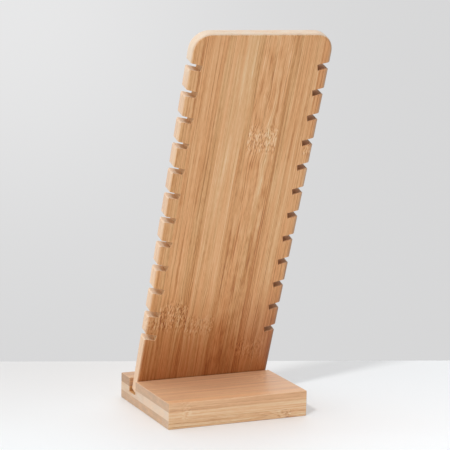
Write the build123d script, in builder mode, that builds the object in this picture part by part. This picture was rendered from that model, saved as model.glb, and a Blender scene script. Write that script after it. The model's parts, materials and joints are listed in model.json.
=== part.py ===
from build123d import *
import math
import os

# Leaning display board of laminated bamboo in a slotted block base.
# Millimetres. +Z is up, the viewer stands on the -Y side, and the origin is the
# middle of the base's underside.

# Base block, pressed from three layers of strips that run along X
base_width = 100.0
base_depth = 86.0
base_layer = 5.8
back_land = 15.3  # wood left behind the groove
groove_depth = 9.4
base_arris = 0.6

# Board, pressed from two plies of strips that run along its length
board_width = 96.8
board_length = 264.0
board_thickness = 8.2
lean = 20.0  # degrees, towards the viewer
head_radius = 12.5
board_arris = 1.8

# Notches down both edges, each with its mouth higher than its inner end
notch_width = 4.2
notch_depth = 8.3
notch_pitch = 17.9
notch_slope = 13.0  # degrees
notch_head_margin = 23.1  # board's top to the highest notch
notch_foot_margin = 30.0  # least height of the lowest notch above the base
notch_lip_radius = 1.3
notch_corner_radius = 1.5  # inner end

# How far the board stands clear of the groove's walls and floor
groove_side_gap = 0.15
groove_floor_gap = 0.1

# Widths of the outermost strips, and how many strips share the rest
front_ply_left = 7.6
front_ply_right = 6.85
front_ply_inner = 4
back_ply_left = 6.4
back_ply_right = 7.6
back_ply_inner = 5
top_layer_front = 6.8
top_layer_inner = 3
middle_layer_front = 22.5
middle_layer_inner = 2
bottom_layer_front = 11.0
bottom_layer_back = 11.4
bottom_layer_inner = 3

# The groove fits the leaning board, and the board stands in the groove
lean_angle = math.radians(lean)
base_height = 3 * base_layer
seat_depth = groove_depth - groove_floor_gap
groove_width = (
    board_thickness * math.cos(lean_angle)
    + seat_depth * math.tan(lean_angle)
    + 2 * groove_side_gap
)
groove_back = base_depth / 2 - back_land
groove_front = groove_back - groove_width
groove_middle = (groove_front + groove_back) / 2

# Board heights are measured along its front face from the top of the base
board_front = Plane(
    origin=(0, groove_front + groove_side_gap, base_height),
    x_dir=(1, 0, 0),
    z_dir=(0, -math.cos(lean_angle), -math.sin(lean_angle)),
)
board_foot = -seat_depth / math.cos(lean_angle)
board_top = board_foot + board_length
board_middle = (board_foot + board_top) / 2
half_board = board_width / 2


def notch_heights():
    """Heights of the notches' inner ends, highest first."""
    highest = board_top - notch_head_margin
    steps = int((highest - notch_foot_margin) / notch_pitch)
    return [highest - step * notch_pitch for step in range(steps + 1)]


def strip_sides(low, first_seam, last_seam, high, inner):
    """Both sides of each strip, with inner strips of one width between two seams."""
    width = (last_seam - first_seam) / inner
    sides = [low] + [first_seam + step * width for step in range(inner + 1)] + [high]
    return list(zip(sides[:-1], sides[1:]))


# The board with all its strips in one: sawn and rounded along its edges, then notched
notch_reach = notch_depth + notch_width
with BuildPart() as shaped_board:
    with BuildSketch(board_front) as outline:
        with Locations((0, board_middle)):
            Rectangle(board_width, board_length)
        fillet(outline.vertices().group_by(Axis.Y)[-1], head_radius)
    extrude(amount=-board_thickness)
    faces_by_depth = shaped_board.faces().sort_by(Axis((0, 0, 0), board_front.z_dir))
    arrises = faces_by_depth[-1].edges() + faces_by_depth[0].edges()
    fillet(
        arrises.filter_by(
            lambda edge: board_front.to_local_coords(edge.center()).Y > board_foot + 1
        ),
        board_arris,
    )
    with BuildSketch(board_front) as notched:
        with Locations((0, board_middle)):
            Rectangle(board_width, board_length)
        for height in notch_heights():
            for side, outwards in ((-1, 180 - notch_slope), (1, notch_slope)):
                with Locations(
                    Location((side * (half_board - notch_depth), height), outwards)
                ):
                    Rectangle(
                        notch_reach,
                        notch_width,
                        align=(Align.MIN, Align.CENTER),
                        mode=Mode.SUBTRACT,
                    )
        notch_corners = notched.vertices().filter_by(
            lambda corner: board_foot + 1 < corner.Y < board_top - 1
        )
        fillet(
            notch_corners.filter_by(lambda corner: abs(corner.X) > half_board - 0.01),
            notch_lip_radius,
        )
        fillet(
            notch_corners.filter_by(lambda corner: abs(corner.X) < half_board - 0.01),
            notch_corner_radius,
        )
    extrude(amount=-board_thickness, mode=Mode.INTERSECT)

# The base as it is sawn, grooved and sanded, all its strips in one
with BuildPart() as shaped_base:
    with BuildSketch():
        Rectangle(base_width, base_depth)
    extrude(amount=base_height)
    with BuildSketch(Plane.XY.offset(base_height)):
        with Locations((0, groove_middle)):
            Rectangle(base_width, groove_width)
    extrude(amount=-groove_depth, mode=Mode.SUBTRACT)
    groove_floor = base_height - groove_depth
    fillet(
        shaped_base.edges().filter_by(
            lambda edge: abs(edge.center().Z - groove_floor) > 0.01
        ),
        base_arris,
    )

os.makedirs("parts", exist_ok=True)

# Board strips, cut apart at the glue lines
ply = board_thickness / 2
ply_layups = {
    "board_front_strip": (
        board_front,
        strip_sides(
            -half_board,
            -half_board + front_ply_left,
            half_board - front_ply_right,
            half_board,
            front_ply_inner,
        ),
    ),
    "board_back_strip": (
        board_front.offset(-ply),
        strip_sides(
            -half_board,
            -half_board + back_ply_left,
            half_board - back_ply_right,
            half_board,
            back_ply_inner,
        ),
    ),
}
for layup_name, (ply_face, sides) in ply_layups.items():
    for number, (left, right) in enumerate(sides, start=1):
        with BuildPart() as board_strip:
            add(shaped_board.part)
            with BuildSketch(ply_face):
                with Locations(((left + right) / 2, board_middle)):
                    Rectangle(right - left, board_length)
            extrude(amount=-ply, mode=Mode.INTERSECT)
        board_strip.part.label = f"{layup_name}_{number}"
        export_step(board_strip.part, f"parts/{board_strip.part.label}.step")

# Base strips, cut apart at the glue lines
half_depth = base_depth / 2
base_layups = {
    "base_bottom_strip": strip_sides(
        -half_depth,
        -half_depth + bottom_layer_front,
        half_depth - bottom_layer_back,
        half_depth,
        bottom_layer_inner,
    ),
    "base_middle_strip": strip_sides(
        -half_depth,
        -half_depth + middle_layer_front,
        groove_middle,
        half_depth,
        middle_layer_inner,
    ),
    "base_top_strip": strip_sides(
        -half_depth,
        -half_depth + top_layer_front,
        groove_back,
        half_depth,
        top_layer_inner,
    ),
}
for layer, (layup_name, sides) in enumerate(base_layups.items()):
    for number, (front, back) in enumerate(sides, start=1):
        with BuildPart() as base_strip:
            add(shaped_base.part)
            with BuildSketch(Plane.XY.offset(layer * base_layer)):
                with Locations((0, (front + back) / 2)):
                    Rectangle(base_width, back - front)
            extrude(amount=base_layer, mode=Mode.INTERSECT)
        base_strip.part.label = f"{layup_name}_{number}"
        export_step(base_strip.part, f"parts/{base_strip.part.label}.step")
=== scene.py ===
import json
import math

import bpy
from mathutils import Matrix, Vector


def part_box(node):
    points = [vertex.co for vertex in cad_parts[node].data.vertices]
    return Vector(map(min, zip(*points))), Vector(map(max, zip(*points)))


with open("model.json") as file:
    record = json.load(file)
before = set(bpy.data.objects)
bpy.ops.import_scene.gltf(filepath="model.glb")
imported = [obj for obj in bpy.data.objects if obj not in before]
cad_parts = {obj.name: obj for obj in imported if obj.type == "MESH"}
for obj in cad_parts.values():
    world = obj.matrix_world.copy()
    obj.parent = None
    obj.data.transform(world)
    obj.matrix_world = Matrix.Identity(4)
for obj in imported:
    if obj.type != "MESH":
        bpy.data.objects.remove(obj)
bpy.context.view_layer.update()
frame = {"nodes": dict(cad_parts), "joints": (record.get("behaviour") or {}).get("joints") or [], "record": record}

# Board, front ply: six bamboo strips glued edge to edge, with their fibres running up
# the board. Each strip is cut from its own culm, so it has its own tone, and its culm
# nodes stand at their own heights. Sanded fine, with a thin matt lacquer.


class Field:
    """A value or colour that varies over a surface: one socket of a node tree."""

    def __init__(self, tree, socket=None):
        self.tree = tree
        self.socket = socket

    def feed(self, node, sockets):
        """Gives a node's sockets their values or links."""
        for key, value in sockets.items():
            if isinstance(value, Field):
                self.tree.links.new(value.socket, node.inputs[key])
            else:
                node.inputs[key].default_value = value

    def make(self, kind, settings, sockets, output=0):
        """Adds a node, with its settings set first, then its socket values or links."""
        node = self.tree.nodes.new(kind)
        for key, value in settings.items():
            if key == "stops":
                ramp = node.color_ramp.elements
                while len(ramp) < len(value):
                    ramp.new(1.0)
                for stop, (place, colour) in zip(ramp, value):
                    stop.position = place
                    stop.color = colour
            else:
                setattr(node, key, value)
        self.feed(node, sockets)
        return Field(self.tree, node.outputs[output])

    def math(self, operation, *values):
        return self.make("ShaderNodeMath", {"operation": operation}, dict(enumerate(values)))

    def __add__(self, other):
        return self.math("ADD", self, other)

    def __radd__(self, other):
        return self.math("ADD", other, self)

    def __sub__(self, other):
        return self.math("SUBTRACT", self, other)

    def __rsub__(self, other):
        return self.math("SUBTRACT", other, self)

    def __mul__(self, other):
        return self.math("MULTIPLY", self, other)

    def __rmul__(self, other):
        return self.math("MULTIPLY", other, self)

    def __abs__(self):
        return self.math("ABSOLUTE", self)

    def largest(self, other):
        return self.math("MAXIMUM", self, other)

    def rise(self, low, high):
        """0 below low and 1 above high, with a soft step between."""
        settings = {"interpolation_type": "SMOOTHSTEP"}
        sockets = {"Value": self, "From Min": low, "From Max": high}
        return self.make("ShaderNodeMapRange", settings, sockets)

    def along_axis(self, axis):
        """The part of this vector that lies along an axis."""
        sockets = {0: self, 1: tuple(axis)}
        return self.make("ShaderNodeVectorMath", {"operation": "DOT_PRODUCT"}, sockets, "Value")

    def vector(self, x, y, z):
        return self.make("ShaderNodeCombineXYZ", {}, {0: x, 1: y, 2: z})

    def noise(self, vector, detail=2.0, roughness=0.5):
        sockets = {"Vector": vector, "Scale": 1.0, "Detail": detail, "Roughness": roughness}
        return self.make("ShaderNodeTexNoise", {"noise_dimensions": "3D"}, sockets)

    def mix(self, factor, first, second, blend="MIX"):
        settings = {"data_type": "RGBA", "blend_type": blend, "clamp_factor": True}
        sockets = {0: factor, 6: first, 7: second}
        return self.make("ShaderNodeMix", settings, sockets, 2)


def screen_colour(*levels):
    """A colour as a screen shows it, 0 to 255, as the light that it stands for."""
    light = [
        level / 3294.6 if level <= 10.31 else ((level / 255 + 0.055) / 1.055) ** 2.4
        for level in levels
    ]
    return (*light, 1.0)


def strongest(fields):
    """The largest of several fields at each point."""
    most = fields[0]
    for field in fields[1:]:
        most = most.largest(field)
    return most


mm = 1000  # in a metre


def bamboo(
    name, origin, grain, width, thickness, seams, seed, shade, warmth=0.0, contrast=1.0,
    nodes=(), bands=(), flames=0.0, below=0.0, paleness=0.0, side_paleness=0.0,
    end_colour=(188, 156, 127), end_cover=0.8, notches=None,
):
    """
    The finish of one bamboo strip, in millimetres along its own grain, width and
    thickness from an origin. shade is how light it is and warmth how red, and contrast
    says how strongly its fibres show. The rest is what sets it apart:
    seams       the axis and place of each glued side
    nodes       culm nodes: place, half length, strength, how far the grain swerves by
    bands       growth bands: place across, half width, change of tone
    flames      strength of the tongues of lighter and darker wood
    below       change of tone in the lowest part of the board
    paleness    how far sanding has paled it; side_paleness is for its sides
    end_colour  end grain, which hides the wood's own colour as far as end_cover
    notches     for the board: how far up its notch walls carry painted shade, where the
            notches' inner ends are, and how deep the notches are
    """
    material = bpy.data.materials.new(name)
    material.use_nodes = True
    field = Field(material.node_tree)

    here = field.make("ShaderNodeTexCoord", {}, {}, "Object")
    sockets = {0: here, 1: tuple(origin)}
    from_origin = field.make("ShaderNodeVectorMath", {"operation": "SUBTRACT"}, sockets)
    along = from_origin.along_axis(Vector(grain) * mm)
    across = from_origin.along_axis(Vector(width) * mm)
    inward = from_origin.along_axis(Vector(thickness) * mm)

    # Round a culm node the fibres swerve, and in it they break up into short dashes
    tangles = []
    swerves = []
    for place, half_length, strength, swing in nodes:
        wander = field.noise(field.vector(across * 0.3, inward * 0.2, along * 0.08 + seed))
        off = abs(along + (wander - 0.5) * half_length * 1.3 - place)
        tangles.append((1.0 - off.rise(half_length * 0.45, half_length * 1.35)) * strength)
        swerves.append(field.math("EXPONENT", off * (-1 / (half_length * 3.0))) * swing)
    bent = across
    if nodes:
        eddy = field.vector(across * 0.13 + seed, inward * 0.2, along * 0.05)
        bent = across + (field.noise(eddy, 1.0) - 0.5) * strongest(swerves)

    # Short dashes, long fibres, the streaks among them, broad growth and its clouds,
    # each by how many times it repeats in a millimetre, and the fibre bundles' dots
    dashes = field.noise(field.vector(bent * 1.9 + seed, inward * 2.0, along * 0.2), 1.0, 0.6)
    fibres = field.noise(field.vector(bent * 1.6 + seed, inward * 1.8, along * 0.016), 2.0, 0.6)
    streaks = field.noise(field.vector(bent * 0.7 + seed, inward * 0.6, along * 0.004), 2.0, 0.65)
    broad = field.noise(field.vector(bent * 0.13, inward * 0.1 + seed, along * 0.003), 1.0)
    cloud = field.noise(field.vector(across * 0.05 + seed, inward * 0.05, along * 0.03))
    settings = {"voronoi_dimensions": "3D", "feature": "F1"}
    bundle_place = field.vector(bent * 1.3, inward * 1.5 + seed, along * 0.03)
    sockets = {"Vector": bundle_place, "Scale": 1.0, "Randomness": 0.9}
    cells = field.make("ShaderNodeTexVoronoi", settings, sockets, "Distance")
    bundles = 1.0 - cells.rise(0.1, 0.4)

    fine = (dashes - 0.5) * 0.4 + (fibres - 0.5) * 1.15 + (streaks - 0.5) * 0.62
    tone = shade + fine * contrast + (broad - 0.5) * 0.36 + (cloud - 0.5) * 0.2 - bundles * 0.08
    if below:
        lowest_part = 1.0 - along.rise(90, 150)
        tone = tone + lowest_part * below
    for place, half_width, change in bands:
        off = abs(across + (cloud - 0.5) * 3.0 - place)
        tone = tone + (1.0 - off.rise(half_width * 0.7, half_width * 1.3)) * change
    if nodes:
        tangle = strongest(tangles)
        turn = (field.noise(field.vector(across * 0.2, seed, along * 0.16)) - 0.5) * 3.2
        fleck_place = field.vector(across * 1.6 + turn, inward + seed, along * 0.36)
        flecks = field.noise(fleck_place, 2.0, 0.55)
        tone = tone + ((flecks - 0.5) * 2.6 + 0.03) * tangle
    if flames:
        tongue = field.vector(across * 0.24 + seed, inward * 0.2, along * 0.045)
        tone = tone + (field.noise(tongue, 2.0, 0.6) - 0.5) * flames

    # Glue lines are a hair darker than the wood on both sides of them
    axes = {"across": across, "inward": inward}
    glue = strongest([1.0 - abs(axes[axis] - place).rise(0.05, 0.32) for axis, place in seams])
    tone = tone - glue * 0.1

    # Steaming has browned the wood, redder in some growth and more yellow in other
    rose = screen_colour(255, 226, 200)
    straw = screen_colour(236, 250, 240)
    stops = [
        (0.0, screen_colour(166, 92, 42)),
        (0.28, screen_colour(206, 140, 77)),
        (0.5, screen_colour(232, 174, 117)),
        (0.72, screen_colour(242, 194, 142)),
        (1.0, screen_colour(250, 220, 180)),
    ]
    colour = field.make("ShaderNodeValToRGB", {"stops": stops}, {"Fac": tone})
    growth = field.noise(field.vector(bent * 0.24, inward * 0.2 + seed, along * 0.006 + seed), 1.0)
    redness = growth.rise(0.38, 0.68) * 0.3 + warmth
    colour = field.mix(redness, colour, rose, "MULTIPLY")
    yellowness = (1.0 - growth.rise(0.3, 0.5)) * 0.15 - warmth
    colour = field.mix(yellowness, colour, straw, "MULTIPLY")

    # Sanded arrises and sides are paler than the planed face, and a painted highlight
    # pales the sides more up by the board's head; end grain is pale, porous and blotchy
    normal = field.make("ShaderNodeTexCoord", {}, {}, "Normal")
    to_end = abs(normal.along_axis(grain))
    to_side = abs(normal.along_axis(width))
    to_face = abs(normal.along_axis(thickness))
    sanded_wood = screen_colour(240, 222, 200)
    arris = 1.0 - strongest([to_side, to_face, to_end]).rise(0.75, 0.97)
    by_head = along.rise(215, 240)
    sides = to_side.rise(0.2, 1.0) * (by_head * 0.7 + 1.0) * side_paleness
    sanded = (arris * 0.16).largest(sides) + paleness
    colour = field.mix(sanded, colour, sanded_wood)
    end_grain = to_end.rise(0.4, 0.85)
    pores = field.noise(field.vector(across * 1.2, inward * 1.8, along * 0.2 + seed))
    blotch = field.noise(field.vector(across * 0.12, inward * 0.3, seed))
    end_shade = end_grain * (end_cover + (pores - 0.5) * 0.7 + (blotch - 0.5) * 0.9)
    colour = field.mix(end_shade, colour, screen_colour(*end_colour))
    roughness = 0.46 + (fibres - 0.5) * 0.2 + (dashes - 0.5) * 0.12 + end_grain * 0.08
    lacquer = 0.1

    if notches:
        # Painted shade darkens the notches' walls: deeper on the right, away from the lamp,
        # than on the left, and least at their mouths. The cutter left no lacquer in them
        right_notch_shade = screen_colour(178, 118, 64)
        left_notch_shade = screen_colour(216, 172, 124)
        highest, inner_end, depth = notches
        left = (0.0 - across).rise(5, 10)
        past_end = abs(across) - inner_end
        deep_shade = 1.0 - past_end.rise(1.5, 7.0) * (left * 0.65 + 0.15)
        wall = (1.0 - to_face.rise(0.1, 0.2)) * (1.0 - past_end.rise(depth - 0.7, depth - 0.2))
        shaded_notch_walls = (1.0 - along.rise(highest, highest + 0.5)) * wall * deep_shade
        notch_shade_colour = field.mix(left, right_notch_shade, left_notch_shade)
        colour = field.mix(shaded_notch_walls * (0.85 + (pores - 0.5) * 0.5), colour, notch_shade_colour)
        roughness = roughness + shaded_notch_walls * 0.4
        lacquer = 0.1 - shaded_notch_walls * 0.1

        # Painted shade greys the right edge, which faces away from the lamp, and darkens
        # the foot of the face, which the base shades
        edge_shade_colour = screen_colour(158, 150, 138)
        foot_shade_colour = screen_colour(190, 147, 99)
        right_edge_shade = (across - inner_end).rise(depth - 3.7, depth - 0.1) * 0.42
        colour = field.mix(right_edge_shade, colour, edge_shade_colour)
        foot = 1.0 - along.rise(12, 80)
        on_face = (0.0 - normal.along_axis(thickness)).rise(0.3, 0.8)
        colour = field.mix(foot * on_face * 0.65, colour, foot_shade_colour, "MULTIPLY")

    height = fibres * 0.4 + dashes * 0.3 - bundles * 0.4 - glue * 0.6 + end_grain * pores * 0.8
    if nodes:
        height = height + flecks * tangle * 1.2
    bump = {"Height": height, "Strength": 0.35, "Distance": 0.00012}
    sockets = {
        "Base Color": colour,
        "Roughness": roughness,
        "Normal": field.make("ShaderNodeBump", {}, bump),
        "Coat Weight": lacquer,
        "Coat Roughness": 0.3,
    }
    field.feed(material.node_tree.nodes["Principled BSDF"], sockets)
    return material


def finish_node(name, material):
    """Gives a CAD node its own finish, in every slot of its object."""
    for slot in frame["nodes"][name].material_slots:
        slot.material = material


# Millimetres up the board's front face from the top of the base, across it to the
# right, and inwards through its thickness
notch_mount = next(m for m in frame["record"]["mounts"] if m["name"] == "highest_notch_pair")
notch_point = Vector(notch_mount["pos_m"])
base_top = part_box("base_top_strip_1")[1].z
up_board = Vector(frame["joints"][0]["axis"])
into_board = -Vector(notch_mount["axis"])
rightwards = Vector((1, 0, 0))
board_origin = notch_point - up_board * ((notch_point.z - base_top) / up_board.z)
half_board = max(abs(side.x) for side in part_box("board_front_strip_1")) * mm
front_ply = 4.1
notch_depth = 8.3
# How far up the board the notch walls carry painted shade
notch_shade_top = (notch_point - board_origin).length * mm + 8


def board_strip(name, seed, look):
    """Finishes one strip of the board, with glue lines wherever it has a neighbour."""
    sides = [side.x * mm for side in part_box(name)]
    seams = [("across", side) for side in sides if abs(side) < half_board - 0.5]
    seams += [("inward", front_ply)]
    material = bamboo(
        name, board_origin, up_board, rightwards, into_board, seams, seed,
        side_paleness=0.5, end_colour=(236, 216, 194), end_cover=0.85,
        notches=(notch_shade_top, half_board - notch_depth, notch_depth), **look,
    )
    finish_node(name, material)


front_strips = {
    1: dict(shade=0.41, warmth=-0.08, nodes=[(44, 6, 0.8, 2)], below=0.05),
    2: dict(shade=0.49, nodes=[(50, 10, 1.0, 5)], bands=[(-25, 0.6, -0.14), (-22, 2.2, -0.04)]),
    3: dict(
        shade=0.56,
        nodes=[(41, 8, 0.8, 5)],
        bands=[(-0.8, 1.6, -0.08), (-14, 2, -0.05), (-8, 3.5, 0.05)],
    ),
    4: dict(shade=0.575, contrast=1.1, nodes=[(181, 10, 1.0, 8)], flames=0.9, below=-0.14),
    5: dict(shade=0.515, nodes=[(19, 8, 0.6, 4)], bands=[(23.3, 2.4, -0.14)], below=-0.04),
    6: dict(shade=0.44, warmth=0.1, nodes=[(172, 4, 0.8, 2)], below=-0.08),
}
for number, look in front_strips.items():
    board_strip(f"board_front_strip_{number}", number * 7.3, look)

# Board, back ply: seven more bamboo strips glued behind the first six, with their
# glue lines offset from theirs. They were sanded and lacquered with them.
back_strips = {
    1: dict(shade=0.46, nodes=[(126, 6, 0.8, 2)]),
    2: dict(shade=0.56, nodes=[(96, 8, 0.9, 8)]),
    3: dict(shade=0.50, warmth=0.1, nodes=[(214, 8, 1.0, 10)], bands=[(-20, 2.5, -0.1)]),
    4: dict(shade=0.58, nodes=[(30, 8, 0.9, 6)]),
    5: dict(shade=0.52, warmth=0.1, nodes=[(158, 9, 1.0, 14)]),
    6: dict(shade=0.55, nodes=[(66, 8, 0.9, 8)], bands=[(36, 3, -0.08)]),
    7: dict(shade=0.46, warmth=0.1, nodes=[(196, 5, 0.8, 2)]),
}
for number, look in back_strips.items():
    board_strip(f"board_back_strip_{number}", 50 + number * 5.9, look)

# Base, top layer: five bamboo strips that run from side to side, sawn through by the
# groove that holds the board. The block was sanded after it was glued, so its top is
# paler than the board.
half_base = -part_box("base_top_strip_1")[0].y * mm


def base_strip(name, seed, look):
    """Finishes one strip of the base, with glue lines wherever it has a neighbour."""
    low, high = (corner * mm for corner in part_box(name))
    seams = [("across", side) for side in (low.y, high.y) if abs(side) < half_base - 0.1]
    seams += [("inward", level) for level in (low.z, high.z) if 1 < level < base_top * mm - 1]
    look = {"paleness": 0.17, **look}
    origin, grain, width, thickness = (0, 0, 0), (1, 0, 0), (0, 1, 0), (0, 0, 1)
    finish_node(name, bamboo(name, origin, grain, width, thickness, seams, seed, **look))


top_strips = {
    1: dict(shade=0.48, paleness=0.22, nodes=[(-38, 4, 0.4, 3)]),
    2: dict(shade=0.38, paleness=0.32, contrast=0.8),
    3: dict(shade=0.33, paleness=0.32, contrast=0.8, nodes=[(36, 6, 0.5, 5)]),
    4: dict(shade=0.34, paleness=0.28, contrast=0.8),
    # Strip 5, behind the board, is darkened with painted shadow of the board
    5: dict(
        shade=0.25, warmth=-0.7, paleness=0.24, nodes=[(12, 6, 0.7, 6)], end_colour=(172, 138, 110)
    ),
}
for number, look in top_strips.items():
    base_strip(f"base_top_strip_{number}", 100 + number * 6.7, look)

# Base, middle layer: four bamboo strips glued between the other two layers, and the
# palest of all on the front and the ends. The two at the back are cut by the groove's
# floor; their wood is yellower there, and darkened with painted shade in the groove.
middle_strips = {
    1: dict(shade=0.77, nodes=[(-37, 4, 0.7, 3)], end_colour=(218, 196, 174)),
    2: dict(shade=0.62, end_colour=(218, 196, 174)),
    3: dict(shade=0.34, warmth=-0.5, paleness=0.05, end_colour=(218, 196, 174)),
    4: dict(shade=0.34, warmth=-0.5, paleness=0.05, end_colour=(214, 190, 164)),
}
for number, look in middle_strips.items():
    base_strip(f"base_middle_strip_{number}", 133.5 + number * 6.7, look)

# Base, bottom layer: five bamboo strips, uncut, with the strongest fibre lines on the
# one that shows in front. The block stands on them, with no feet under it.
bottom_strips = {
    1: dict(shade=0.62, contrast=1.7, nodes=[(34, 6, 0.8, 4)], end_colour=(192, 164, 138)),
    2: dict(shade=0.56),
    3: dict(shade=0.58, nodes=[(-20, 6, 0.8, 5)]),
    4: dict(shade=0.54),
    5: dict(shade=0.56),
}
for number, look in bottom_strips.items():
    base_strip(f"base_bottom_strip_{number}", 160.3 + number * 6.7, look)

# Table: a plain pale top under the stand, which ends in a straight edge behind it. It
# is no part of the stand. Its paint carries painted light: lighter and cooler on the
# right, painted shade away from the viewer, and a painted glow near the viewer.
black = (0.0, 0.0, 0.0, 1.0)
bpy.ops.object.select_all(action="DESELECT")
bpy.ops.mesh.primitive_plane_add(size=4.0, location=(0, 0, 0))
table = bpy.context.object
table.name = "studio_table"
edge_left, edge_right = Vector((-0.0963, 0.1643, 0)), Vector((0.2201, 0.0578, 0))
beyond_edge = Vector((0, 0, 1)).cross(edge_right - edge_left)
bpy.ops.object.mode_set(mode="EDIT")
bpy.ops.mesh.select_all(action="SELECT")
bpy.ops.mesh.bisect(plane_co=edge_left, plane_no=beyond_edge, clear_outer=True)
bpy.ops.object.mode_set(mode="OBJECT")

paint = bpy.data.materials.new("studio_table")
paint.use_nodes = True
cover = Field(paint.node_tree)
spot = cover.make("ShaderNodeTexCoord", {}, {}, "Object")
# Painted light: lighter and cooler to the right, painted shade far off, a painted glow near
rightward = spot.along_axis((0.6, -0.8, 0)).rise(-0.2, 0.16)
nearer = spot.along_axis((-0.41, -0.91, 0))
tint = cover.mix(rightward, (0.835, 0.835, 0.835, 1.0), (0.95, 0.965, 0.98, 1.0))
tint = cover.mix((1.0 - nearer.rise(-0.13, 0.08)) * 0.11, tint, black)
painted_glow = cover.mix(nearer.rise(0.02, 0.12), black, (0.03, 0.05, 0.06, 1.0))
sockets = {"Base Color": tint, "Roughness": 0.6, "Emission Color": painted_glow, "Emission Strength": 1.0}
cover.feed(paint.node_tree.nodes["Principled BSDF"], sockets)
table.data.materials.append(paint)

# Studio light: bright white overhead, a grey wall behind the table with a pool of
# light on it, less light from the front, and one soft lamp high on the left.
world = bpy.data.worlds.new("studio")
bpy.context.scene.world = world
world.use_nodes = True
air = Field(world.node_tree)
toward = air.make("ShaderNodeTexCoord", {}, {}, "Generated")
height = toward.along_axis((0, 0, 1))
stops = [
    (0.0, (0.672, 0.672, 0.676, 1.0)),
    (0.49, (0.68, 0.68, 0.684, 1.0)),
    (0.55, (0.85, 0.85, 0.855, 1.0)),
    (0.75, (1.0, 1.0, 1.0, 1.0)),
    (1.0, (1.0, 1.0, 1.0, 1.0)),
]
sky = air.make("ShaderNodeValToRGB", {"stops": stops}, {"Fac": height * 0.5 + 0.5})
front = toward.along_axis((0.42, -0.91, 0)).rise(-0.25, 0.5) * (1.0 - height.rise(0.35, 0.9))
pool_middle = {0: toward, 1: (0.2916, 0.9559, -0.0332)}
away = air.make("ShaderNodeVectorMath", {"operation": "DISTANCE"}, pool_middle, "Value")
pool = air.math("EXPONENT", away * away * -52.0) * 0.182
sockets = {"Color": air.mix(front * 0.88, sky, black), "Strength": pool + 1.0}
air.feed(world.node_tree.nodes["Background"], sockets)

sun = bpy.data.lights.new("key", "SUN")
sun.energy = 1.0
sun.angle = math.radians(5)
lamp = bpy.data.objects.new("key", sun)
lamp.rotation_euler = Vector((-0.563, -0.442, 0.699)).to_track_quat("Z", "Y").to_euler()
bpy.context.scene.collection.objects.link(lamp)

# Camera: a long lens, over a metre off, to the left of the stand and a little above
# it, turned to it and tipped down.
camera_data = bpy.data.cameras.new("camera")
camera_data.sensor_width = 36.0
camera_data.lens = 135.472
camera_data.clip_end = 50.0
camera = bpy.data.objects.new("camera", camera_data)
turn, tip, roll = (math.radians(angle) for angle in (-24.44, 80.49, 1.30))
camera.matrix_world = (
    Matrix.Translation((-0.4568, -1.0195, 0.3124))
    @ Matrix.Rotation(turn, 4, "Z")
    @ Matrix.Rotation(tip, 4, "X")
    @ Matrix.Rotation(roll, 4, "Z")
)
bpy.context.scene.collection.objects.link(camera)
bpy.context.scene.camera = camera
bpy.context.scene.view_settings.view_transform = "Standard"
